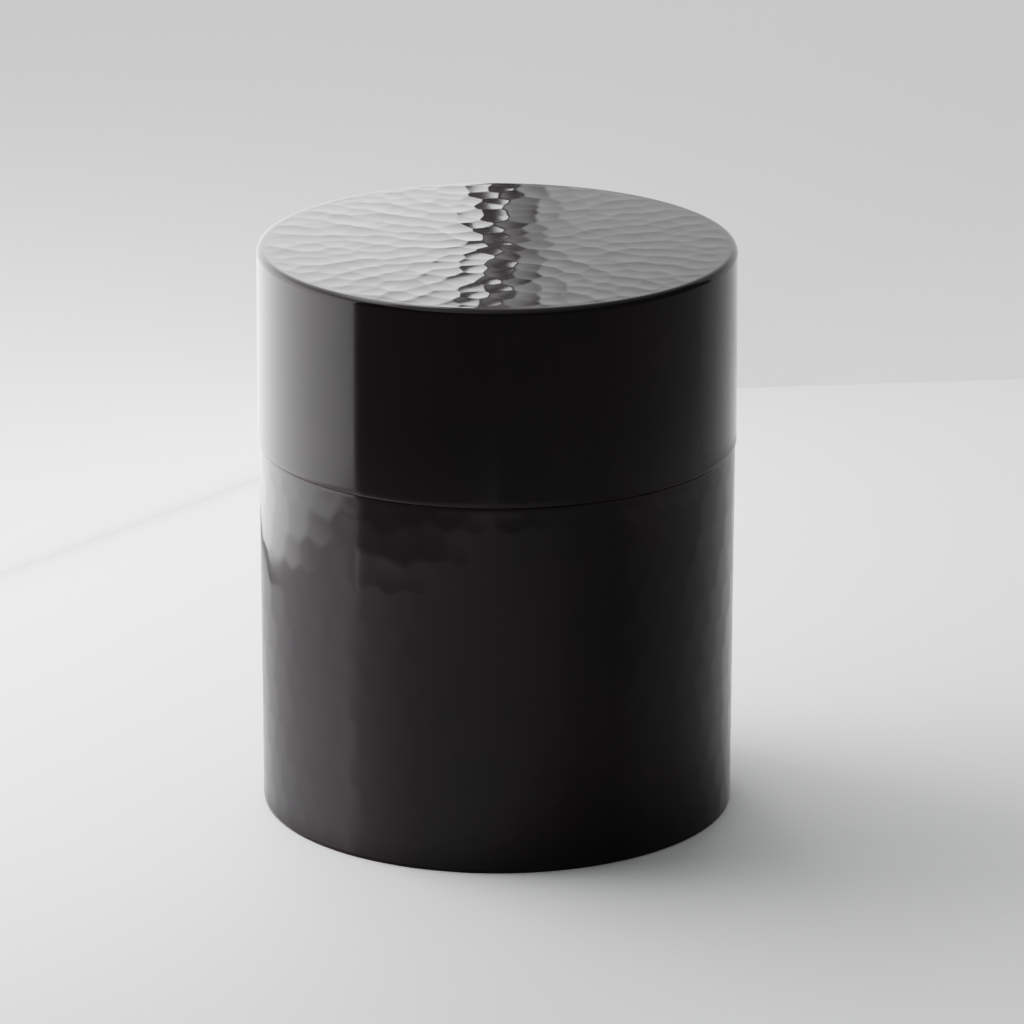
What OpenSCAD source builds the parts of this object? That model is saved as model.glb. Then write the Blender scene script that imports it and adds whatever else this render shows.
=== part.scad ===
// Round tea caddy in hammered sheet metal, lacquered black-brown outside and tinned inside.
// The body is an outer shell with a tinned liner that stands up above it as a collar.
// The cap lid slides over that collar and rests on the body's rim; an inner lid closes the collar.
// Millimetres, +Z up, origin at the centre of the face the caddy stands on.

/* [Overall] */
// Outer diameter of the cap lid at its lower rim
lid_d = 80; // [70:1:95]
// Height of the closed caddy
total_h = 96.4; // [92:0.1:110]
// Height of the body from the table to the seam under the lid
body_h = 63; // [55:0.5:67]

/* [Body shell] */
// How much narrower the body is than the lid at the seam, on the radius
seam_step = 0.2; // [0.1:0.05:0.3]
// How much the body narrows from the seam down to the base, on the radius
body_taper = 0.2; // [0.05:0.05:0.3]
// Thickness of the base plate
base_t = 1; // [0.8:0.1:1.5]
// Rounding of the outer edge of the base
base_edge_r = 0.4; // [0.2:0.1:0.5]

/* [Liner] */
// Sheet thickness of the liner
liner_t = 0.7; // [0.5:0.1:0.8]
// Height of the collar above the body's rim
collar_h = 18; // [12:0.5:20]
// Gap on the radius between collar and lid
lid_fit = 0.06; // [0.03:0.01:0.1]

/* [Cap lid] */
// Thickness of the lid wall at its rim
lid_wall_t = 1.1; // [0.9:0.1:1.4]
// How much the lid narrows from its rim up to its top, on the radius
lid_taper = 0.15; // [0.05:0.05:0.3]
// Thickness of the lid's top plate
lid_top_t = 1.2; // [1.1:0.1:1.5]
// Rounding of the lid's upper edge
shoulder_r = 1; // [0.6:0.1:1]
// Rounding of the two edges that meet at the seam
seam_edge_r = 0.25; // [0.15:0.05:0.3]

/* [Inner lid] */
// Sheet thickness of the inner lid's plate
plate_t = 0.8; // [0.6:0.1:1]
// How far the plate reaches over the collar's top edge
plate_lap = 0.45; // [0.3:0.05:0.5]
// Depth of the skirt that fits inside the collar
skirt_h = 6; // [4:0.5:8]
// Sheet thickness of the skirt
skirt_t = 0.7; // [0.5:0.1:0.8]
// Gap on the radius between skirt and liner
skirt_fit = 0.06; // [0.03:0.01:0.1]

/* [Knob] */
// Diameter of the knob's head
knob_d = 11; // [11:0.5:14]
// Height of the knob above the plate
knob_h = 8; // [6:0.5:8]
// Diameter of the knob's neck
knob_neck_d = 4.6; // [4:0.2:5]
// Diameter of the rivet shank that holds the knob
rivet_d = 2.8; // [2:0.1:3.2]

/* [Hidden] */
$fn = 180;

lacquer = [0.075, 0.052, 0.055];
tinned = [0.72, 0.72, 0.70];
turned_brass = [0.78, 0.60, 0.32];

// Radii
lid_r = lid_d / 2;
lid_top_r = lid_r - lid_taper;
lid_bore_r = lid_r - lid_wall_t;
liner_r = lid_bore_r - lid_fit;
liner_bore_r = liner_r - liner_t;
body_seam_r = lid_r - seam_step;
body_base_r = body_seam_r - body_taper;
plate_r = liner_bore_r + plate_lap;
skirt_r = liner_bore_r - skirt_fit;

// Heights
lid_ceiling_z = total_h - lid_top_t;
collar_z = body_h + collar_h;
plate_z = collar_z + plate_t;

// Small edge roundings of thin sheet
sheet_edge_r = 0.3;
plate_edge_r = 0.35;

// Knob profile, upwards from the plate: foot, hollow neck, head with a round rim, shallow crown
knob_r = knob_d / 2;
knob_neck_r = knob_neck_d / 2;
knob_foot_h = 1.2;
knob_foot_ledge = 0.2;
knob_rim_r = 1.1;
knob_crown_h = 1;
knob_head_z = knob_h - knob_crown_h - 2 * knob_rim_r;
knob_neck_h = knob_head_z - knob_foot_h;
knob_hollow_r = knob_neck_h / 2;
knob_flare_r = knob_neck_r + knob_hollow_r;
knob_foot_r = knob_flare_r + knob_foot_ledge;
rivet_r = rivet_d / 2;
rivet_hole_gap = 0.05;
rivet_head_r = rivet_r + 1.2;
rivet_head_h = 0.7;

// Half-plane profile turned into a ring or disc about the caddy's axis
module turned() {
    rotate_extrude() children();
}

// Corner of a profile to cut away, so that an outer upper corner at the origin gets radius r
module corner_cut(r) {
    difference() {
        translate([-r, -r]) square(2 * r);
        translate([-r, -r]) circle(r);
    }
}

// Outer shell of the body, a tapered ring with softened edges, standing on its lower edge
module body_wall() {
    color(lacquer) turned() difference() {
        polygon([[liner_r, 0], [body_base_r, 0], [body_base_r, base_edge_r],
            [body_seam_r, body_h - seam_edge_r], [body_seam_r, body_h], [liner_r, body_h]]);
        translate([body_base_r, 0]) mirror([0, 1]) corner_cut(base_edge_r);
        translate([body_seam_r, body_h]) corner_cut(seam_edge_r);
    }
}

// Disc that closes the shell, flush with its lower edge
module base_plate() {
    color(lacquer) cylinder(r = liner_r, h = base_t);
}

// Tinned ring that holds the tea, standing on the base plate and up through the lid
module liner_wall() {
    color(tinned) turned() difference() {
        translate([liner_bore_r, base_t]) square([liner_t, collar_z - base_t]);
        translate([liner_r, collar_z]) corner_cut(sheet_edge_r);
    }
}

// Tinned disc that closes the liner
module liner_base() {
    color(tinned) translate([0, 0, base_t]) cylinder(r = liner_bore_r, h = liner_t);
}

// Side of the cap lid, with a straight bore and a slightly tapered outside
module lid_wall() {
    color(lacquer) turned() difference() {
        polygon([[lid_bore_r, body_h], [lid_r, body_h], [lid_r, body_h + seam_edge_r],
            [lid_top_r, lid_ceiling_z], [lid_bore_r, lid_ceiling_z]]);
        translate([lid_r, body_h]) mirror([0, 1]) corner_cut(seam_edge_r);
    }
}

// Top plate of the cap lid, with a rounded shoulder
module lid_top() {
    color(lacquer) turned() difference() {
        translate([0, lid_ceiling_z]) square([lid_top_r, lid_top_t]);
        translate([lid_top_r, total_h]) corner_cut(shoulder_r);
    }
}

// Plate of the inner lid, lying on the collar's top edge, with a hole for the knob's rivet
module inner_lid_plate() {
    bore_r = rivet_r + rivet_hole_gap;
    color(tinned) turned() difference() {
        translate([bore_r, collar_z]) square([plate_r - bore_r, plate_t]);
        translate([plate_r, plate_z]) corner_cut(plate_edge_r);
    }
}

// Skirt under the plate that keeps the inner lid in the middle of the liner
module inner_lid_skirt() {
    color(tinned) turned() difference() {
        translate([skirt_r - skirt_t, collar_z - skirt_h]) square([skirt_t, skirt_h]);
        translate([skirt_r, collar_z - skirt_h]) mirror([0, 1]) corner_cut(sheet_edge_r);
    }
}

// Outline of the knob above the plate: foot, hollow neck and a domed head
module knob_outline() {
    square([knob_foot_r, knob_foot_h]);
    difference() {
        translate([0, knob_foot_h]) square([knob_flare_r, knob_neck_h]);
        translate([knob_flare_r, knob_foot_h + knob_hollow_r]) circle(knob_hollow_r);
    }
    translate([0, knob_head_z]) square([knob_r - knob_rim_r, 2 * knob_rim_r]);
    translate([knob_r - knob_rim_r, knob_head_z + knob_rim_r]) circle(knob_rim_r);
    knob_crown();
}

// Shallow dome on top of the knob's head, a slice of a large circle
module knob_crown() {
    chord = knob_r - knob_rim_r;
    dome_r = (chord * chord + knob_crown_h * knob_crown_h) / (2 * knob_crown_h);
    intersection() {
        translate([0, knob_h - dome_r]) circle(dome_r);
        translate([0, knob_h - knob_crown_h]) square([chord, knob_crown_h]);
    }
}

// Knob turned in one piece with the rivet that is peened over under the plate
module inner_lid_knob() {
    color(turned_brass) turned() {
        translate([0, plate_z]) knob_outline();
        translate([0, collar_z - rivet_head_h]) square([rivet_r, rivet_head_h + plate_t]);
        translate([0, collar_z - rivet_head_h]) square([rivet_head_r, rivet_head_h]);
    }
}

body_wall();
base_plate();
liner_wall();
liner_base();
lid_wall();
lid_top();
inner_lid_plate();
inner_lid_skirt();
inner_lid_knob();
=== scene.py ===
import math
import random

import bpy
import numpy as np
from mathutils import Euler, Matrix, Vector


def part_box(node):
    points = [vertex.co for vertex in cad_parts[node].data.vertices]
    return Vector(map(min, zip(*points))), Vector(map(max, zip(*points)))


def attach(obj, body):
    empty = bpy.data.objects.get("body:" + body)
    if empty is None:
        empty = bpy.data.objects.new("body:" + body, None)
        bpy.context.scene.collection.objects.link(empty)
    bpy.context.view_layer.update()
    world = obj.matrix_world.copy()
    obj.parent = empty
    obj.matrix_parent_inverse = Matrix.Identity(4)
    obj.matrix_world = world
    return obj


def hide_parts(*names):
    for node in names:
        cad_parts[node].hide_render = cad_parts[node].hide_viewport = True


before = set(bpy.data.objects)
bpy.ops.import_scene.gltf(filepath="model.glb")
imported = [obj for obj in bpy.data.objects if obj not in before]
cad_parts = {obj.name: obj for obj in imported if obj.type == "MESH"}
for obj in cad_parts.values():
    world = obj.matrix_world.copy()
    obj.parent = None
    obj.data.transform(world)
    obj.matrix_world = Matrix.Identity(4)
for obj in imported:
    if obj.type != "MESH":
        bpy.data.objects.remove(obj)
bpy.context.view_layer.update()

# A hammered, lacquered tea caddy. Everything is in metres, in the CAD model's frame: +Z up, the origin
# at the centre of the face the caddy stands on, the camera on the -Y side.

MM = 0.001


# ---------------------------------------------------------------- sizes read from the CAD model

def outer_radius(node):
    low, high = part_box(node)
    return high[0]


def heights(node):
    low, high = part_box(node)
    return low[2], high[2]


CEILING_Z, TOP_Z = heights("lid_top")
SEAM_Z = heights("body_wall")[1]
LINER_Z, COLLAR_Z = heights("liner_wall")
LINER_FLOOR_Z = heights("liner_base")[1]
PLATE_LOW_Z, PLATE_Z = heights("inner_lid_plate")
SKIRT_Z = heights("inner_lid_skirt")[0]
RIVET_Z, KNOB_Z = heights("inner_lid_knob")
BASE_PLATE_Z = heights("base_plate")[1]

LID_R = outer_radius("lid_wall")
LID_TOP_R = outer_radius("lid_top")
BODY_R = outer_radius("body_wall")
LINER_R = outer_radius("liner_wall")
LINER_BORE_R = outer_radius("liner_base")
PLATE_R = outer_radius("inner_lid_plate")
SKIRT_R = outer_radius("inner_lid_skirt")
KNOB_R = outer_radius("inner_lid_knob")

# What the boxes don't say: the taper of the shell, the thickness of the sheets and their edges
BODY_BASE_R = BODY_R - 0.2 * MM
LID_BORE_R = LID_R - 1.1 * MM
SKIRT_BORE_R = SKIRT_R - 0.7 * MM
SHOULDER_R = 1.0 * MM
SEAM_EDGE_R = 0.25 * MM
BASE_EDGE_R = 0.4 * MM
SHEET_EDGE_R = 0.3 * MM
PLATE_EDGE_R = 0.35 * MM
BURR_R = 0.12 * MM

# Far less than any sheet: tells a face from what lies beside it
HAIR = 0.01 * MM

# The knob's profile
KNOB_NECK_R = 2.3 * MM
KNOB_FOOT_R = 4.3 * MM
KNOB_FOOT_H = 1.2 * MM
KNOB_RIM_R = 1.1 * MM
KNOB_CROWN_H = 1.0 * MM
RIVET_R = 1.4 * MM
RIVET_HEAD_R = 2.6 * MM
RIVET_HOLE_R = 1.45 * MM


# ---------------------------------------------------------------- camera

CAMERA_DISTANCE = 1.0783
CAMERA_HEIGHT = 0.3951
CAMERA_PITCH = math.radians(17.76)
CAMERA_YAW = math.radians(0.132)
CAMERA_ROLL = math.radians(0.062)
CAMERA_LENS_MM = 237.55


def make_camera():
    data = bpy.data.cameras.new("camera")
    data.lens = CAMERA_LENS_MM
    data.sensor_width = 36.0
    data.clip_start = 0.05
    data.clip_end = 20.0
    camera = bpy.data.objects.new("camera", data)
    camera.location = (0.0, -CAMERA_DISTANCE, CAMERA_HEIGHT)
    look = Euler((math.pi / 2 - CAMERA_PITCH, 0.0, -CAMERA_YAW), "XYZ").to_matrix()
    roll = Euler((0.0, 0.0, CAMERA_ROLL), "XYZ").to_matrix()
    camera.rotation_euler = (look @ roll).to_euler()
    bpy.context.scene.collection.objects.link(camera)
    bpy.context.scene.camera = camera


# ---------------------------------------------------------------- hammer marks

# The smallest and the largest bowl, as shares of the usual one
BLOW_SIZES = (0.8, 1.25)


def hammered(points, blows, ridge, wrap=None):
    """Height of a hammered surface at points (n, 2): the lower envelope of one shallow bowl per blow.

    A blow is a row (u, v, heading, radius along, radius across, depth): its place, the direction of its
    long axis, the bowl's two radii of curvature and how much deeper than its neighbours it went.
    ridge softens the crests between bowls; wrap is the length after which u repeats.
    """
    cos_h, sin_h = np.cos(blows[:, 2]), np.sin(blows[:, 2])
    height = np.empty(len(points))
    chunk = 4096
    for start in range(0, len(points), chunk):
        part = points[start:start + chunk]
        du = part[:, None, 0] - blows[None, :, 0]
        dv = part[:, None, 1] - blows[None, :, 1]
        if wrap:
            du -= wrap * np.round(du / wrap)
        along = du * cos_h + dv * sin_h
        across = dv * cos_h - du * sin_h
        bowls = along ** 2 / (2 * blows[:, 3]) + across ** 2 / (2 * blows[:, 4]) - blows[:, 5]
        lowest = bowls.min(axis=1)
        spread = np.exp((lowest[:, None] - bowls) / ridge).sum(axis=1)
        height[start:start + chunk] = lowest - ridge * np.log(spread)
    return height - height.max()


def ring_blows(rng, radius, ring_pitch, pitch, along_r, across_r, depth, jitter, fainter=0.0):
    """Blows in rings about the centre of a round plate, each mark's long axis pointing at the centre.

    fainter is how much flatter, and so shallower, the marks get towards the plate's left and right.
    """
    faint_r = 0.5 * radius
    blows = [(0.0, 0.0, 0.0, across_r, across_r, 0.0)]
    for ring in range(1, int(radius / ring_pitch + 0.5) + 1):
        count = max(5, round(2 * math.pi * ring * ring_pitch / pitch))
        first = rng.uniform(0, 2 * math.pi)
        for i in range(count):
            a = first + 2 * math.pi * (i + rng.gauss(0, jitter)) / count
            r = (ring + rng.gauss(0, jitter)) * ring_pitch
            flatter = 1 + fainter * math.cos(a) ** 2 * min(1, r / faint_r)
            size = rng.uniform(*BLOW_SIZES) * flatter
            blows.append((r * math.cos(a), r * math.sin(a), a, along_r * size, across_r * size,
                          depth * rng.uniform(-1, 1)))
    return np.array(blows)


def row_blows(rng, length, low_z, high_z, row_pitch, pitch, along_r, across_r, depth, jitter):
    """Blows in level rows round a wall of that length, every second row shifted by half a pitch."""
    blows = []
    count = round(length / pitch)
    first_row, slip = 0.15, 0.12
    for row in range(int((high_z - low_z) / row_pitch) + 2):
        z = high_z - (row + first_row) * row_pitch
        shift = 0.5 * (row % 2) + rng.uniform(-slip, slip)
        for i in range(count):
            u = length * (i + shift + rng.gauss(0, jitter)) / count
            size = rng.uniform(*BLOW_SIZES)
            blows.append((u, z + rng.gauss(0, jitter) * row_pitch, math.pi / 2, along_r * size,
                          across_r * size, depth * rng.uniform(-1, 1)))
    return np.array(blows)


def smooth_step(values):
    t = np.clip(values, 0, 1)
    return t * t * (3 - 2 * t)


def near(values, place, reach):
    """1 at place, falling off smoothly on both sides."""
    return np.exp(-((values - place) / reach) ** 2)


def radius_of(points):
    return np.hypot(points[:, 0], points[:, 1])


def azimuth_of(points):
    return np.arctan2(points[:, 1], points[:, 0])


def outward(points, offset):
    """Offset of that much away from the axis."""
    scale = offset / np.maximum(radius_of(points), 1e-9)
    return np.column_stack([scale * points[:, 0], scale * points[:, 1], np.zeros(len(points))])


def upward(offset):
    return np.column_stack([np.zeros(len(offset)), np.zeros(len(offset)), offset])


# ---------------------------------------------------------------- turned meshes

SHARP_ANGLE = math.radians(38)


def line(start, end, step):
    """Points from start towards end, end left out, about a step apart."""
    count = max(1, round(math.dist(start, end) / step))
    return [(start[0] + (end[0] - start[0]) * i / count, start[1] + (end[1] - start[1]) * i / count)
            for i in range(count)]


def arc(centre, r, start_deg, end_deg, steps):
    """Points of an arc in the half-plane, both ends included; 0 degrees points outwards, 90 up."""
    angles = [math.radians(start_deg + (end_deg - start_deg) * i / steps) for i in range(steps + 1)]
    return [(centre[0] + r * math.cos(a), centre[1] + r * math.sin(a)) for a in angles]


def turned(name, outline, around, materials, relief=None, second=None):
    """A closed piece from a half-plane outline of (r, z), counter-clockwise with r to the right.

    An outline that starts on the axis is a disc's and ends on the axis too; any other is a ring's
    closed loop. relief(points) gives every vertex its offset. second(r, z) is true for the middle of
    an outline step whose faces take the second material. Returns the piece and the points before relief.
    """
    is_disc = outline[0][0] == 0.0
    body = outline[1:-1] if is_disc else outline
    rows = len(body)
    angle = np.arange(around) * (2 * math.pi / around)
    radii, zs = np.array(body).T
    grid = np.empty((rows, around, 3))
    grid[..., 0] = radii[:, None] * np.cos(angle)
    grid[..., 1] = radii[:, None] * np.sin(angle)
    grid[..., 2] = zs[:, None]
    points = grid.reshape(-1, 3)
    faces = []
    steps = []
    for k in range(rows - 1 if is_disc else rows):
        a, b = k * around, (k + 1) % rows * around
        steps.append((body[k], body[(k + 1) % rows]))
        for i in range(around):
            j = (i + 1) % around
            faces.append((a + i, a + j, b + j, b + i))
    if is_disc:
        points = np.vstack([points, [0, 0, outline[0][1]], [0, 0, outline[-1][1]]])
        low, high, last = len(points) - 2, len(points) - 1, (rows - 1) * around
        for end, pole in ((0, low), (last, high)):
            steps.append((body[0], outline[0]) if end == 0 else (body[-1], outline[-1]))
            for i in range(around):
                j = (i + 1) % around
                faces.append((pole, end + j, end + i) if end == 0 else (pole, end + i, end + j))
    moved = points if relief is None else points + relief(points)
    mesh = bpy.data.meshes.new(name)
    mesh.from_pydata(moved.tolist(), [], faces)
    for material in materials:
        mesh.materials.append(material)
    if second is not None:
        picks = [int(second((p[0] + q[0]) / 2, (p[1] + q[1]) / 2)) for p, q in steps]
        mesh.polygons.foreach_set("material_index", np.repeat(picks, around).astype(np.int32))
    mesh.shade_smooth()
    mesh.set_sharp_from_angle(angle=SHARP_ANGLE)
    piece = bpy.data.objects.new(name, mesh)
    bpy.context.scene.collection.objects.link(piece)
    return piece, points


def add_wear_and_highlight(piece, values):
    """Stores how much each vertex is rubbed, from 0 to 1, for the materials to read; along the lacquer's
    seam the same value paints a highlight.
    """
    layer = piece.data.attributes.new("wear_and_highlight", "FLOAT", "POINT")
    layer.data.foreach_set("value", np.clip(values, 0, 1).astype(np.float32))


def place_piece(piece, node, body):
    """The piece stands for a CAD node, whose part it hides, and moves with that body."""
    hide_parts(node)
    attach(piece, body)


# ---------------------------------------------------------------- materials

LACQUER_DARK = (0.0100, 0.0056, 0.0072)
LACQUER_BROWN = (0.0160, 0.0078, 0.0098)
# Brown of rubbed lacquer; along the seam it is also a painted highlight line
LACQUER_WEAR_AND_HIGHLIGHT = (0.085, 0.036, 0.028)
TIN_DULL = (0.42, 0.41, 0.39)
TIN_BRIGHT = (0.66, 0.655, 0.635)
TIN_STREAK = (0.30, 0.29, 0.28)
BRASS_TARNISHED = (0.20, 0.115, 0.048)
BRASS_BRIGHT = (0.70, 0.46, 0.19)


def new_material(name):
    material = bpy.data.materials.new(name)
    material.use_nodes = True
    tree = material.node_tree
    return material, tree, tree.nodes["Principled BSDF"]


def add_node(tree, kind, **settings):
    node = tree.nodes.new(kind)
    for key, value in settings.items():
        setattr(node, key, value)
    return node


def noise(tree, vector, scale, detail=3.0, roughness=0.5):
    node = add_node(tree, "ShaderNodeTexNoise")
    node.inputs["Scale"].default_value = scale
    node.inputs["Detail"].default_value = detail
    node.inputs["Roughness"].default_value = roughness
    tree.links.new(vector, node.inputs["Vector"])
    return node.outputs["Fac"]


def remap(tree, value, from_low, from_high, to_low, to_high):
    node = add_node(tree, "ShaderNodeMapRange")
    node.inputs["From Min"].default_value = from_low
    node.inputs["From Max"].default_value = from_high
    node.inputs["To Min"].default_value = to_low
    node.inputs["To Max"].default_value = to_high
    tree.links.new(value, node.inputs["Value"])
    return node.outputs["Result"]


def combine(tree, operation, first, second):
    node = add_node(tree, "ShaderNodeMath", operation=operation)
    for socket, value in zip(node.inputs, (first, second)):
        if isinstance(value, float):
            socket.default_value = value
        else:
            tree.links.new(value, socket)
    return node.outputs["Value"]


def mix_colours(tree, factor, first, second):
    node = add_node(tree, "ShaderNodeMix", data_type="RGBA")
    tree.links.new(factor, node.inputs["Factor"])
    for socket, value in ((node.inputs["A"], first), (node.inputs["B"], second)):
        if isinstance(value, tuple):
            socket.default_value = (*value, 1.0)
        else:
            tree.links.new(value, socket)
    return node.outputs["Result"]


def bump(tree, height, distance, normal=None):
    node = add_node(tree, "ShaderNodeBump")
    node.inputs["Strength"].default_value = 1.0
    node.inputs["Distance"].default_value = distance
    tree.links.new(height, node.inputs["Height"])
    if normal is not None:
        tree.links.new(normal, node.inputs["Normal"])
    return node.outputs["Normal"]


def object_place(tree):
    return add_node(tree, "ShaderNodeTexCoord").outputs["Object"]


def turned_place(tree, place, scale):
    """Coordinates that only change with radius and height, for marks that run round the axis."""
    parts = add_node(tree, "ShaderNodeSeparateXYZ")
    tree.links.new(place, parts.inputs["Vector"])
    square_x = combine(tree, "MULTIPLY", parts.outputs["X"], parts.outputs["X"])
    square_y = combine(tree, "MULTIPLY", parts.outputs["Y"], parts.outputs["Y"])
    radius = combine(tree, "POWER", combine(tree, "ADD", square_x, square_y), 0.5)
    joined = add_node(tree, "ShaderNodeCombineXYZ")
    tree.links.new(combine(tree, "MULTIPLY", radius, scale), joined.inputs["X"])
    tree.links.new(combine(tree, "MULTIPLY", parts.outputs["Z"], scale), joined.inputs["Z"])
    return joined.outputs["Vector"]


def wear_and_highlight_of(tree):
    return add_node(tree, "ShaderNodeAttribute", attribute_name="wear_and_highlight").outputs["Fac"]


def lacquer_material():
    """Glossy black-brown lacquer, rubbed down and browner where edges meet; along the seam that brown is
    also a painted highlight.
    """
    material, tree, shader = new_material("dark_lacquer")
    place = object_place(tree)
    drift = noise(tree, place, scale=38.0, detail=4.0)
    colour = mix_colours(tree, remap(tree, drift, 0.35, 0.65, 0.0, 1.0), LACQUER_DARK, LACQUER_BROWN)
    patchy = noise(tree, place, scale=230.0, detail=5.0, roughness=0.6)
    # Rubbed edges go brown and rougher; at the seam this brown is also a painted highlight
    rubbed_and_highlight = combine(tree, "MULTIPLY", wear_and_highlight_of(tree), remap(tree, patchy, 0.34, 0.62, 0.0, 1.0))
    colour = mix_colours(tree, rubbed_and_highlight, colour, LACQUER_WEAR_AND_HIGHLIGHT)
    tree.links.new(colour, shader.inputs["Base Color"])
    haze = remap(tree, noise(tree, place, scale=90.0, detail=5.0), 0.3, 0.7, 0.075, 0.115)
    roughness = combine(tree, "ADD", haze, combine(tree, "MULTIPLY", rubbed_and_highlight, 0.16))
    tree.links.new(roughness, shader.inputs["Roughness"])
    film = noise(tree, place, scale=620.0, detail=2.0)
    tree.links.new(bump(tree, film, 0.9e-6), shader.inputs["Normal"])
    shader.inputs["IOR"].default_value = 1.5
    return material


def tinned_material():
    """Wiped tin: soft grey metal with wiping streaks round the axis, duller in patches."""
    material, tree, shader = new_material("tinned_sheet")
    place = object_place(tree)
    streaks = noise(tree, turned_place(tree, place, 2600.0), scale=1.0, detail=4.0, roughness=0.65)
    patches = noise(tree, place, scale=60.0, detail=5.0, roughness=0.6)
    grain = noise(tree, place, scale=900.0)
    colour = mix_colours(tree, remap(tree, patches, 0.32, 0.68, 0.0, 1.0), TIN_DULL, TIN_BRIGHT)
    colour = mix_colours(tree, remap(tree, streaks, 0.35, 0.75, 0.0, 0.35), colour, TIN_STREAK)
    tree.links.new(colour, shader.inputs["Base Color"])
    shader.inputs["Metallic"].default_value = 1.0
    rough = combine(tree, "ADD", remap(tree, patches, 0.3, 0.7, 0.40, 0.26),
                    remap(tree, streaks, 0.3, 0.7, -0.04, 0.08))
    tree.links.new(rough, shader.inputs["Roughness"])
    fine = bump(tree, grain, 1.5e-6)
    tree.links.new(bump(tree, streaks, 3.0e-6, fine), shader.inputs["Normal"])
    return material


def brass_material():
    """Turned brass, handled bright on its head and browner where fingers don't reach."""
    material, tree, shader = new_material("turned_brass")
    place = object_place(tree)
    tarnish = noise(tree, place, scale=320.0, detail=5.0, roughness=0.6)
    bright = combine(tree, "MULTIPLY", wear_and_highlight_of(tree), remap(tree, tarnish, 0.25, 0.6, 0.6, 1.0))
    colour = mix_colours(tree, bright, BRASS_TARNISHED, BRASS_BRIGHT)
    tree.links.new(colour, shader.inputs["Base Color"])
    shader.inputs["Metallic"].default_value = 1.0
    tree.links.new(remap(tree, tarnish, 0.3, 0.7, 0.17, 0.33), shader.inputs["Roughness"])
    rings = noise(tree, turned_place(tree, place, 5200.0), scale=1.0, roughness=0.6)
    tree.links.new(bump(tree, rings, 2.2e-6), shader.inputs["Normal"])
    return material


# ---------------------------------------------------------------- pieces of the caddy body

rng = random.Random(1108)

# Vertices round each kind of piece
AROUND_SHELL = 540
AROUND_TOP = 640
AROUND_LINER = 640
AROUND_BAND = 420
AROUND_PLAIN = 360
AROUND_KNOB = 180


def fading(height, room):
    """The height, flattened to its own mean level where room goes to 0, so that no lip forms there."""
    return height.mean() + (height - height.mean()) * smooth_step(room)


def hammered_wall(blows, ridge, low_z, high_z, inside_r, fade):
    """Relief of hammer rows on the outside of a wall, flattening towards its two edges."""
    def relief(points):
        u = (azimuth_of(points) + math.pi) * BODY_R
        height = hammered(np.column_stack([u, points[:, 2]]), blows, ridge, wrap=2 * math.pi * BODY_R)
        room = np.minimum(points[:, 2] - low_z, high_z - points[:, 2]) / fade
        return outward(points, fading(height, room) * (radius_of(points) > inside_r))
    return relief


def hammered_face(blows, ridge, face_z, edge_h, edge_r, fade, side=1):
    """Relief of hammer rings on a round face, flattening at its edge; side is -1 for an underside.

    edge_h is the height of the rounded edge that goes down a little with the face.
    """
    def relief(points):
        height = fading(hammered(points[:, :2], blows, ridge), (edge_r - radius_of(points)) / fade)
        return upward(side * height * (np.abs(points[:, 2] - face_z) < edge_h))
    return relief


def make_body_shell(lacquer):
    """Outer shell of the body: hammered outside, softened at its base and at the seam."""
    outline = line((LINER_R, 0.0), (BODY_BASE_R - BASE_EDGE_R, 0.0), 0.3 * MM)
    outline += arc((BODY_BASE_R - BASE_EDGE_R, BASE_EDGE_R), BASE_EDGE_R, -90, 0, 8)[:-1]
    outline += line((BODY_BASE_R, BASE_EDGE_R), (BODY_R, SEAM_Z - SEAM_EDGE_R), 0.48 * MM)
    outline += arc((BODY_R - SEAM_EDGE_R, SEAM_Z - SEAM_EDGE_R), SEAM_EDGE_R, 0, 90, 6)[:-1]
    outline += line((BODY_R - SEAM_EDGE_R, SEAM_Z), (LINER_R, SEAM_Z), 0.3 * MM)
    outline += line((LINER_R, SEAM_Z), (LINER_R, 0.0), 8 * MM)
    blows = row_blows(rng, 2 * math.pi * BODY_R, 0.0, SEAM_Z, row_pitch=5.9 * MM, pitch=5.4 * MM,
                      along_r=0.14, across_r=0.13, depth=8e-6, jitter=0.09)
    edge = 0.3 * MM
    relief = hammered_wall(blows, 8e-6, edge, SEAM_Z - edge, LINER_R + 0.5 * MM, fade=2.0 * MM)
    piece, rest = turned("body_shell", outline, AROUND_SHELL, [lacquer], relief)
    outside = radius_of(rest) > LINER_R + 0.3 * MM
    # Rubbed lacquer at the seam and at the base edge; the seam line is also a painted highlight
    worn_and_highlight = 0.6 * near(rest[:, 2], SEAM_Z, 0.2 * MM) + 0.7 * near(rest[:, 2], 0.0, 0.3 * MM)
    add_wear_and_highlight(piece, worn_and_highlight * outside)
    place_piece(piece, "body_wall", "caddy_body")


def make_base_disc(lacquer):
    """Underside: a disc dished a little, so that the caddy stands on the ring round its edge."""
    hollow = 0.25 * MM
    slope = 12 * MM
    foot_r = 35.5 * MM
    rim_r = LINER_R - 0.02 * MM
    rim_edge_r = 0.15 * MM
    outline = line((0.0, 0.0), (rim_r - rim_edge_r, 0.0), 0.6 * MM)
    outline += arc((rim_r - rim_edge_r, rim_edge_r), rim_edge_r, -90, 0, 4)
    outline += [(rim_r, BASE_PLATE_Z), (0.0, BASE_PLATE_Z)]
    blows = ring_blows(rng, foot_r, ring_pitch=5.0 * MM, pitch=6.0 * MM, along_r=0.35, across_r=0.25,
                       depth=4e-6, jitter=0.08)
    marks = hammered_face(blows, 6e-6, 0.0, 2 * HAIR, foot_r, fade=2.0 * MM, side=-1)

    def relief(points):
        dish = hollow * smooth_step((foot_r - radius_of(points)) / slope) * (points[:, 2] < 0.1 * HAIR)
        return marks(points) + upward(dish)

    piece, rest = turned("base_disc", outline, AROUND_PLAIN, [lacquer], relief)
    add_wear_and_highlight(piece, 0.8 * near(radius_of(rest), LINER_R - 1.3 * MM, 1.2 * MM))
    place_piece(piece, "base_plate", "caddy_body")


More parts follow.
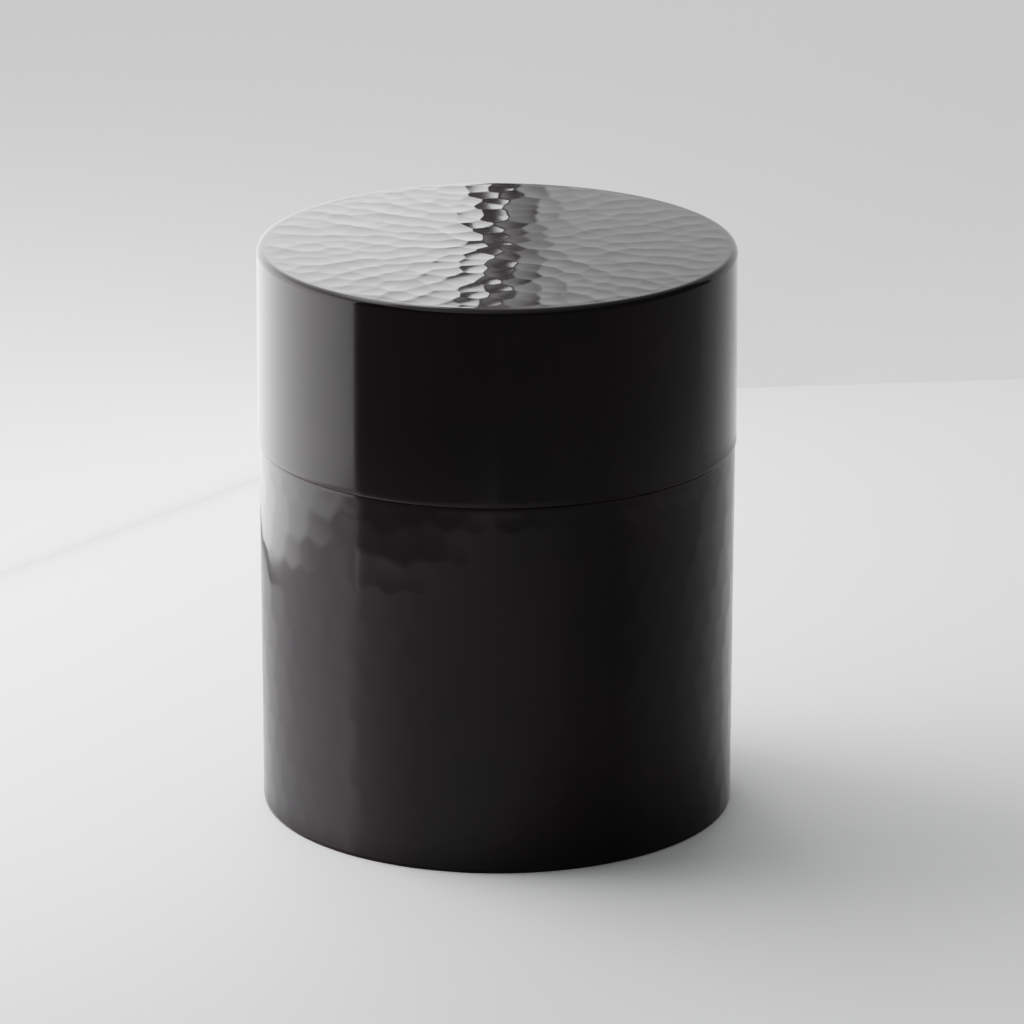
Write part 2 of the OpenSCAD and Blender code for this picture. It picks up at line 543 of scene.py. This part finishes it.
def make_liner_tube(tin):
    """Liner rolled from sheet: its soldered seam is a hairline outside and a low bead inside."""
    low = (LINER_BORE_R, LINER_Z)
    outline = line(low, (LINER_R, LINER_Z), 0.4 * MM)
    outline += line((LINER_R, LINER_Z), (LINER_R, COLLAR_Z - SHEET_EDGE_R), 1.6 * MM)
    outline += arc((LINER_R - SHEET_EDGE_R, COLLAR_Z - SHEET_EDGE_R), SHEET_EDGE_R, 0, 90, 6)
    outline += arc((LINER_BORE_R + BURR_R, COLLAR_Z - BURR_R), BURR_R, 90, 180, 3)
    outline += line((LINER_BORE_R, COLLAR_Z - BURR_R), low, 1.6 * MM)[1:]
    seam_azimuth = math.radians(52)
    hairline_depth, bead_height, swell_height = 0.05 * MM, 0.07 * MM, 3e-6
    middle_r = (LINER_R + LINER_BORE_R) / 2

    def relief(points):
        turn = azimuth_of(points) - seam_azimuth
        away = np.abs(np.arctan2(np.sin(turn), np.cos(turn))) * LINER_R
        wander = 0.1 * MM * np.sin(points[:, 2] * 230.0)
        outside = radius_of(points) > middle_r
        hairline = -hairline_depth * near(away + wander, 0.0, 0.5 * MM) * outside
        below_skirt = smooth_step((SKIRT_Z - 1.5 * MM - points[:, 2]) / (3 * MM))
        inside = radius_of(points) < middle_r
        bead = -bead_height * near(away, 0.0, 1.1 * MM) * below_skirt * inside
        swell = swell_height * (np.sin(7 * azimuth_of(points) + 60 * points[:, 2]) - 1)
        return outward(points, hairline + bead + swell * outside)

    piece, rest = turned("liner_tube", outline, AROUND_LINER, [tin], relief)
    add_wear_and_highlight(piece, near(rest[:, 2], COLLAR_Z, 0.6 * MM))
    place_piece(piece, "liner_wall", "caddy_body")


def make_liner_floor(tin):
    """Floor of the liner, planished, with a solder fillet where it meets the wall."""
    fillet_r = 0.8 * MM
    flat_r = LINER_BORE_R - fillet_r
    outline = line((0.0, LINER_Z), (LINER_BORE_R, LINER_Z), 4 * MM)
    outline += [(LINER_BORE_R, LINER_Z)]
    outline += arc((flat_r, LINER_FLOOR_Z + fillet_r), fillet_r, 0, -90, 7)
    outline += line((flat_r, LINER_FLOOR_Z), (0.0, LINER_FLOOR_Z), 0.6 * MM)[1:]
    outline += [(0.0, LINER_FLOOR_Z)]
    blows = ring_blows(rng, flat_r, ring_pitch=5.4 * MM, pitch=6.2 * MM, along_r=0.30, across_r=0.25,
                       depth=4e-6, jitter=0.08)
    relief = hammered_face(blows, 6e-6, LINER_FLOOR_Z, 2 * HAIR, flat_r, fade=1.5 * MM)
    piece, rest = turned("liner_floor", outline, AROUND_PLAIN, [tin], relief)
    add_wear_and_highlight(piece, np.zeros(len(rest)))
    place_piece(piece, "liner_base", "caddy_body")


# ---------------------------------------------------------------- pieces of the cap lid

def make_lid_top(lacquer, tin):
    """Top plate of the cap lid: hammer rings on its face, a rounded shoulder, tinned underneath."""
    flat_r = LID_TOP_R - SHOULDER_R
    outline = line((0.0, CEILING_Z), (LID_TOP_R, CEILING_Z), 3.0 * MM) + [(LID_TOP_R, CEILING_Z)]
    outline += arc((flat_r, TOP_Z - SHOULDER_R), SHOULDER_R, 0, 90, 9)[:-1]
    outline += line((flat_r, TOP_Z), (0.0, TOP_Z), 0.36 * MM) + [(0.0, TOP_Z)]
    blows = ring_blows(random.Random(37), flat_r, ring_pitch=3.9 * MM, pitch=4.8 * MM, along_r=0.070,
                       across_r=0.042, depth=10e-6, jitter=0.16, fainter=0.8)
    relief = hammered_face(blows, 5e-6, TOP_Z, 0.9 * SHOULDER_R, flat_r, fade=1.5 * MM)
    piece, rest = turned("lid_top_plate", outline, AROUND_TOP, [lacquer, tin], relief,
                         lambda r, z: z < CEILING_Z + HAIR and r < LID_BORE_R)
    add_wear_and_highlight(piece, np.zeros(len(rest)))
    place_piece(piece, "lid_top", "cap_lid")


def make_lid_band(lacquer, tin):
    """Smooth side of the cap lid, tinned inside, with a softened lower rim."""
    outline = line((LID_BORE_R, SEAM_Z), (LID_R - SEAM_EDGE_R, SEAM_Z), 0.3 * MM)
    outline += arc((LID_R - SEAM_EDGE_R, SEAM_Z + SEAM_EDGE_R), SEAM_EDGE_R, -90, 0, 6)[:-1]
    outline += line((LID_R, SEAM_Z + SEAM_EDGE_R), (LID_TOP_R, CEILING_Z), 0.8 * MM)
    outline += line((LID_TOP_R, CEILING_Z), (LID_BORE_R, CEILING_Z), 0.3 * MM)
    outline += line((LID_BORE_R, CEILING_Z), (LID_BORE_R, SEAM_Z), 3.0 * MM)
    waves = [(rng.uniform(0, 2 * math.pi), rng.uniform(0.6, 1.4), count) for count in (3, 5, 8, 13)]
    wave_height, inset = 6e-6, 2e-5

    def relief(points):
        swell = sum(size * wave_height / count
                    * np.sin(count * azimuth_of(points) + phase + 90 * points[:, 2])
                    for phase, size, count in waves)
        return outward(points, (swell - inset) * (radius_of(points) > LID_TOP_R - 0.4 * MM))

    piece, rest = turned("lid_band", outline, AROUND_BAND, [lacquer, tin], relief,
                         lambda r, z: r < LID_BORE_R + HAIR)
    # Rubbed lacquer at the lower rim, which is also a painted highlight along the seam
    add_wear_and_highlight(piece, 0.5 * near(rest[:, 2], SEAM_Z, 0.16 * MM))
    place_piece(piece, "lid_wall", "cap_lid")


# ---------------------------------------------------------------- pieces of the inner lid

def make_inner_plate(tin):
    """Plate of the inner lid, stiffened by one shallow ring pressed into it."""
    low = (RIVET_HOLE_R, PLATE_LOW_Z)
    outline = line(low, (PLATE_R - BURR_R, PLATE_LOW_Z), 2.0 * MM)
    outline += arc((PLATE_R - BURR_R, PLATE_LOW_Z + BURR_R), BURR_R, -90, 0, 3)
    outline += arc((PLATE_R - PLATE_EDGE_R, PLATE_Z - PLATE_EDGE_R), PLATE_EDGE_R, 0, 90, 6)[:-1]
    outline += line((PLATE_R - PLATE_EDGE_R, PLATE_Z), (RIVET_HOLE_R, PLATE_Z), 0.3 * MM)
    outline += line((RIVET_HOLE_R, PLATE_Z), low, 1.0 * MM)

    ring_r, ring_depth, turning_height, buckle_height = 31.5 * MM, 0.16 * MM, 1.5e-6, 8e-6

    def relief(points):
        r = radius_of(points)
        on_top = points[:, 2] > PLATE_Z - 2 * HAIR
        ring = -ring_depth * near(r, ring_r, 0.75 * MM)
        turning = turning_height * np.sin(r * 5000.0)
        buckle = buckle_height * (np.sin(3 * azimuth_of(points) + r * 80.0) - 1)
        return upward((ring + turning + buckle) * on_top * smooth_step((PLATE_R - 0.4 * MM - r) / MM))

    piece, rest = turned("inner_plate", outline, AROUND_PLAIN, [tin], relief)
    add_wear_and_highlight(piece, near(radius_of(rest), PLATE_R, 0.5 * MM))
    place_piece(piece, "inner_lid_plate", "inner_lid")


def make_inner_skirt(tin):
    """Skirt of the inner lid, its lower edge broken on both sides."""
    edge = 0.2 * MM
    outline = [(SKIRT_BORE_R + edge, SKIRT_Z)]
    outline += arc((SKIRT_R - SHEET_EDGE_R, SKIRT_Z + SHEET_EDGE_R), SHEET_EDGE_R, -90, 0, 6)
    outline += line((SKIRT_R, SKIRT_Z + SHEET_EDGE_R), (SKIRT_R, PLATE_LOW_Z), 0.8 * MM)[1:]
    outline += [(SKIRT_R, PLATE_LOW_Z), (SKIRT_BORE_R, PLATE_LOW_Z)]
    outline += arc((SKIRT_BORE_R + edge, SKIRT_Z + edge), edge, 180, 270, 4)[:-1]
    piece, rest = turned("inner_skirt", outline, AROUND_PLAIN, [tin])
    add_wear_and_highlight(piece, near(rest[:, 2], SKIRT_Z, 0.5 * MM))
    place_piece(piece, "inner_lid_skirt", "inner_lid")


def make_knob(brass):
    """Turned knob with eased edges and two fine grooves on its crown, riveted through the plate."""
    foot_z = PLATE_Z + KNOB_FOOT_H
    head_z = KNOB_Z - KNOB_CROWN_H - 2 * KNOB_RIM_R
    hollow_r = (head_z - foot_z) / 2
    chord = KNOB_R - KNOB_RIM_R
    dome_r = (chord ** 2 + KNOB_CROWN_H ** 2) / (2 * KNOB_CROWN_H)
    dome_deg = math.degrees(math.asin(chord / dome_r))
    eased = 0.12 * MM
    groove_radii, groove_reach, groove_depth = (3.6 * MM, 1.2 * MM), 0.13 * MM, 0.06 * MM
    outline = line((0.0, RIVET_Z), (RIVET_HEAD_R - SHEET_EDGE_R, RIVET_Z), 0.5 * MM)
    outline += arc((RIVET_HEAD_R - SHEET_EDGE_R, RIVET_Z + SHEET_EDGE_R), SHEET_EDGE_R, -90, 0, 5)
    outline += [(RIVET_HEAD_R, PLATE_LOW_Z), (RIVET_R, PLATE_LOW_Z), (RIVET_R, PLATE_Z)]
    outline += arc((KNOB_FOOT_R - eased, PLATE_Z + eased), eased, -90, 0, 3)
    outline += arc((KNOB_FOOT_R - 2 * eased, foot_z - 2 * eased), 2 * eased, 0, 90, 4)
    outline += arc((KNOB_NECK_R + hollow_r, foot_z + hollow_r), hollow_r, -90, -270, 28)[1:]
    outline += arc((chord, head_z + KNOB_RIM_R), KNOB_RIM_R, -90, 90, 20)[:-1]
    outline += arc((0.0, KNOB_Z - dome_r), dome_r, 90 - dome_deg, 90, 44)[:-1] + [(0.0, KNOB_Z)]

    def relief(points):
        r = radius_of(points)
        on_crown = points[:, 2] > KNOB_Z - KNOB_CROWN_H
        grooves = sum(near(r, groove_r, groove_reach) for groove_r in groove_radii)
        return upward(-groove_depth * grooves * on_crown)

    piece, rest = turned("knob", outline, AROUND_KNOB, [brass], relief)
    head = smooth_step((rest[:, 2] - head_z) / MM)
    add_wear_and_highlight(piece, 0.25 + 0.75 * head)
    place_piece(piece, "inner_lid_knob", "inner_lid")


# ---------------------------------------------------------------- stage and light

# The glowing sheets' stops are (place, brightness) pairs, and their feet are (x, y) points.

CARD_TINT = (0.975, 0.99, 1.0, 1.0)
FLOOR_COLOUR = (0.80, 0.80, 0.79, 1.0)
AIR_TINT = (0.96, 0.98, 1.0, 1.0)
EVEN = [(0.0, 1.0), (1.0, 1.0)]

# The screen and the wall meet at this corner, and higher up their edge leans to the left
CORNER = (-0.0028, 0.228)
CARD_ROWS = [0.0, 0.168, 0.180, 0.200, 0.250, 0.420]
CORNER_LEANS = [0.0, 0.0, -0.0042, -0.0112, -0.022, -0.030]

# The low cards in front meet here and end at this height
FRONT = (0.0, -0.232)
FRONT_H = 0.07


def make_floor():
    half = 3.0
    mesh = bpy.data.meshes.new("floor")
    mesh.from_pydata([(-half, -half, 0), (half, -half, 0), (half, half, 0), (-half, half, 0)], [],
                     [(0, 1, 2, 3)])
    floor = bpy.data.objects.new("floor", mesh)
    bpy.context.scene.collection.objects.link(floor)
    material, tree, shader = new_material("floor")
    shader.inputs["Base Color"].default_value = FLOOR_COLOUR
    shader.inputs["Roughness"].default_value = 0.9
    shader.inputs["Specular IOR Level"].default_value = 0.2
    mesh.materials.append(material)


def ramp(tree, value, stops):
    """Grey that follows (value, brightness) stops, the first of them at 0."""
    reach = stops[-1][0]
    node = add_node(tree, "ShaderNodeValToRGB")
    elements = node.color_ramp.elements
    for place, grey in stops[1:-1]:
        elements.new(place / reach)
    for element, (place, grey) in zip(elements, stops):
        element.color = (grey, grey, grey, 1.0)
    tree.links.new(remap(tree, value, 0.0, reach, 0.0, 1.0), node.inputs["Fac"])
    return node.outputs["Color"]


def glowing(name, grid, strength, across, upwards, diffuse):
    """A glowing sheet, out of the camera's sight, that shows in the caddy's gloss.

    grid is rows of (x, y, z, a, b); its brightness follows the stops in across along a times the
    stops in upwards along b. diffuse says whether it also lights matt surfaces.
    """
    count = len(grid[0])
    cells = [cell for row in grid for cell in row]
    faces = [(r * count + i, r * count + i + 1, (r + 1) * count + i + 1, (r + 1) * count + i)
             for r in range(len(grid) - 1) for i in range(count - 1)]
    mesh = bpy.data.meshes.new(name)
    mesh.from_pydata([cell[:3] for cell in cells], [], faces)
    for label, column in (("across", 3), ("upwards", 4)):
        layer = mesh.attributes.new(label, "FLOAT", "POINT")
        layer.data.foreach_set("value", [cell[column] for cell in cells])
    material = bpy.data.materials.new(name)
    material.use_nodes = True
    tree = material.node_tree
    tree.nodes.clear()
    a = add_node(tree, "ShaderNodeAttribute", attribute_name="across").outputs["Fac"]
    b = add_node(tree, "ShaderNodeAttribute", attribute_name="upwards").outputs["Fac"]
    light = combine(tree, "MULTIPLY", ramp(tree, a, across), ramp(tree, b, upwards))
    glow = add_node(tree, "ShaderNodeEmission")
    glow.inputs["Color"].default_value = CARD_TINT
    tree.links.new(combine(tree, "MULTIPLY", light, strength), glow.inputs["Strength"])
    out = add_node(tree, "ShaderNodeOutputMaterial")
    tree.links.new(glow.outputs["Emission"], out.inputs["Surface"])
    mesh.materials.append(material)
    sheet = bpy.data.objects.new(name, mesh)
    bpy.context.scene.collection.objects.link(sheet)
    sheet.visible_camera = False
    sheet.visible_shadow = False
    sheet.visible_diffuse = diffuse


def glow_card(name, foot, strength, across, upwards, height=None):
    """A sheet that stands on the foot line; across are stops along the foot, upwards up the sheet.

    A sheet with a height is low, plumb and only mirrored. One without rises through CARD_ROWS, its
    first edge leans by CORNER_LEANS, and it lights the floor too.
    """
    rows, leans = ([0.0, height], [0.0, 0.0]) if height else (CARD_ROWS, CORNER_LEANS)
    run = [0.0]
    for start, end in zip(foot, foot[1:]):
        run.append(run[-1] + math.dist(start, end))
    grid = [[(x + (lean if i == 0 else 0.0), y, z, run[i], z) for i, (x, y) in enumerate(foot)]
            for z, lean in zip(rows, leans)]
    glowing(name, grid, strength, across, upwards, diffuse=height is None)


def glow_round(name, strength, across, upwards):
    """A sheet that lies on the floor all round the caddy and dims towards it, most on the right: a
    painted shadow of the caddy on the floor it stands for.

    Each of its columns runs the way the body's wall mirrors it: out from the wall at twice the wall's
    own turn from the front, and straight back behind the caddy. across are (degrees of the wall from
    its left side, brightness) stops, upwards (distance from the wall, brightness) stops.
    """
    lift = 0.2 * MM
    nearest = 0.010
    grid = []
    for distance in (0.0005, 0.008, 0.020, 0.040, 0.070, 0.110, 0.160, 0.210):
        row = []
        for turn in range(-90, 271, 2):
            a = math.radians(turn - 90)
            heading = 2 * math.radians(min(max(turn, 0), 180) - 90)
            # Where this is larger the painted shadow ends closer to the wall: on the left and behind
            spread = 1 + 3 * float(smooth_step((110 - turn) / 50) + smooth_step((turn - 180) / 90))
            row.append((BODY_R * math.sin(a) + distance * math.sin(heading),
                        -BODY_R * math.cos(a) - distance * math.cos(heading),
                        lift, float(turn), (distance + nearest) * spread))
        grid.append(row)
    glowing(name, grid, strength, across, upwards, diffuse=False)


def glow_above(name, strength, across):
    """A level sheet over the caddy; across are (distance from its left side, brightness) stops."""
    side, height = 0.45, 0.50
    grid = [[(-side + run, y, height, run, 0.0) for run in (0.0, 0.15, 0.30, 0.45, 0.60, 0.75, 0.90)]
            for y in (-0.60, -0.15, 0.30)]
    glowing(name, grid, strength, across, EVEN, diffuse=False)


def soft_light(name, place, target, size, power):
    """A square light that brightens matt surfaces but isn't mirrored."""
    data = bpy.data.lights.new(name, "AREA")
    data.shape = "SQUARE"
    data.size = size
    data.energy = power
    light = bpy.data.objects.new(name, data)
    light.location = place
    light.rotation_euler = (Vector(target) - Vector(place)).to_track_quat("-Z", "Y").to_euler()
    light.visible_glossy = False
    bpy.context.scene.collection.objects.link(light)


def make_screen():
    """A bright paper screen behind on the left, and the dimmer gap along its foot; the screen's darker
    foot and that dim strip are painted shadow under the screen.
    """
    foot = [CORNER, (-0.048, 0.174), (-0.095, 0.114), (-0.140, 0.060), (-0.172, 0.012),
            (-0.190, -0.040), (-0.203, -0.098)]
    glow_card("screen", foot, 2.4,
              across=[(0.0, 1.0), (0.26, 1.0), (0.34, 0.93), (0.389, 0.80)],
              # Darker near the floor: painted shadow at the screen's foot
              upwards=[(0.0, 0.50), (0.006, 0.80), (0.014, 1.0), (0.140, 1.0), (0.156, 0.82),
                       (0.180, 0.61), (0.250, 0.60), (0.300, 1.0), (0.420, 1.0)])
    aside = 0.002
    # A dim strip just in front of the screen's foot: a painted shadow gap
    glow_card("gap", [(x + aside, y - aside) for x, y in foot[:5]], 1.0,
              across=[(0.0, 0.35), (0.17, 0.40), (0.23, 1.0), (0.28, 1.6)],
              upwards=EVEN, height=0.0035)


def make_wall():
    """A dimmer wall behind on the right, darkest where it meets the screen: painted shade in the corner.
    """
    glow_card("wall", [(CORNER[0], CORNER[1] + 0.004), (0.60, 0.30)], 0.95,
              # Dark close to the corner: painted shade
              across=[(0.0, 0.15), (0.0045, 0.21), (0.006, 0.50), (0.011, 0.62), (0.015, 0.92),
                      (0.60, 0.80)],
              upwards=[(0.0, 0.76), (0.06, 0.86), (0.140, 1.0), (0.165, 1.0), (0.180, 0.88),
                       (0.250, 0.80)])


def make_front():
    """A low, dim room in front, brightest at both of its ends."""
    left_foot = [(-0.158, -0.076), (-0.142, -0.104), (-0.104, -0.145), (-0.065, -0.188), FRONT]
    glow_card("front_left", left_foot, 0.96,
              across=[(0.0, 3.1), (0.006, 1.55), (0.015, 1.25), (0.06, 1.2), (0.16, 1.0), (0.23, 1.0)],
              upwards=[(0.0, 1.0), (0.004, 0.66), (0.012, 0.48), (0.030, 0.36), (FRONT_H, 0.33)],
              height=FRONT_H)
    right_foot = [FRONT, (0.106, -0.205), (0.186, -0.130), (0.220, -0.028), (0.209, 0.056)]
    glow_card("front_right", right_foot, 0.96,
              across=[(0.0, 1.0), (0.19, 1.0), (0.31, 1.25), (0.41, 1.35)],
              upwards=[(0.0, 0.47), (0.030, 0.37), (FRONT_H, 0.35)],
              height=FRONT_H)


def make_paper():
    """The paper round the caddy's foot, as its wall mirrors it, with its light and shade painted on:
    brightest at the left front, darker at the front right and right in the caddy's shadow, and darker
    close to the wall.
    """
    glow_round("paper", 1.51,
               # Painted light and shade round the caddy: brightest at the left front, darkest at the
               # front right
               across=[(0.0, 0.45), (20.0, 0.58), (30.0, 0.71), (40.0, 0.90), (51.0, 1.0),
                       (55.5, 0.76), (70.0, 0.55), (90.0, 0.44), (100.0, 0.38), (110.0, 0.29),
                       (120.0, 0.25), (130.0, 0.32), (180.0, 0.38), (270.0, 0.45)],
               # Darker close to the wall: painted contact shadow
               upwards=[(0.0, 0.35), (0.018, 0.45), (0.028, 0.57), (0.052, 0.82), (0.075, 0.95),
                        (0.110, 1.0), (0.9, 1.0)])


def make_overhead():
    """A sheet overhead, brightest on the left."""
    glow_above("overhead", 1.3, across=[(0.0, 1.0), (0.30, 0.85), (0.60, 0.45), (0.90, 0.35)])


def make_lamps():
    """Light that matt surfaces see: a window on the left, a fill on the floor behind, and the air."""
    soft_light("window", (-0.35, 0.12, 0.29), (0.0, -0.06, 0.0), size=0.32, power=1.12)
    soft_light("back_fill", (0.0, 1.25, 0.60), (0.0, 0.62, 0.0), size=0.9, power=4.8)
    world = bpy.data.worlds.new("world")
    bpy.context.scene.world = world
    world.use_nodes = True
    back = world.node_tree.nodes["Background"]
    back.inputs["Color"].default_value = AIR_TINT
    back.inputs["Strength"].default_value = 0.25


def set_view():
    view = bpy.context.scene.view_settings
    view.view_transform = "Filmic"
    view.look = "Very High Contrast"


lacquer = lacquer_material()
tin = tinned_material()
brass = brass_material()
make_camera()
make_body_shell(lacquer)
make_base_disc(lacquer)
make_liner_tube(tin)
make_liner_floor(tin)
make_lid_top(lacquer, tin)
make_lid_band(lacquer, tin)
make_inner_plate(tin)
make_inner_skirt(tin)
make_knob(brass)
make_floor()
make_screen()
make_wall()
make_front()
make_paper()
make_overhead()
make_lamps()
set_view()
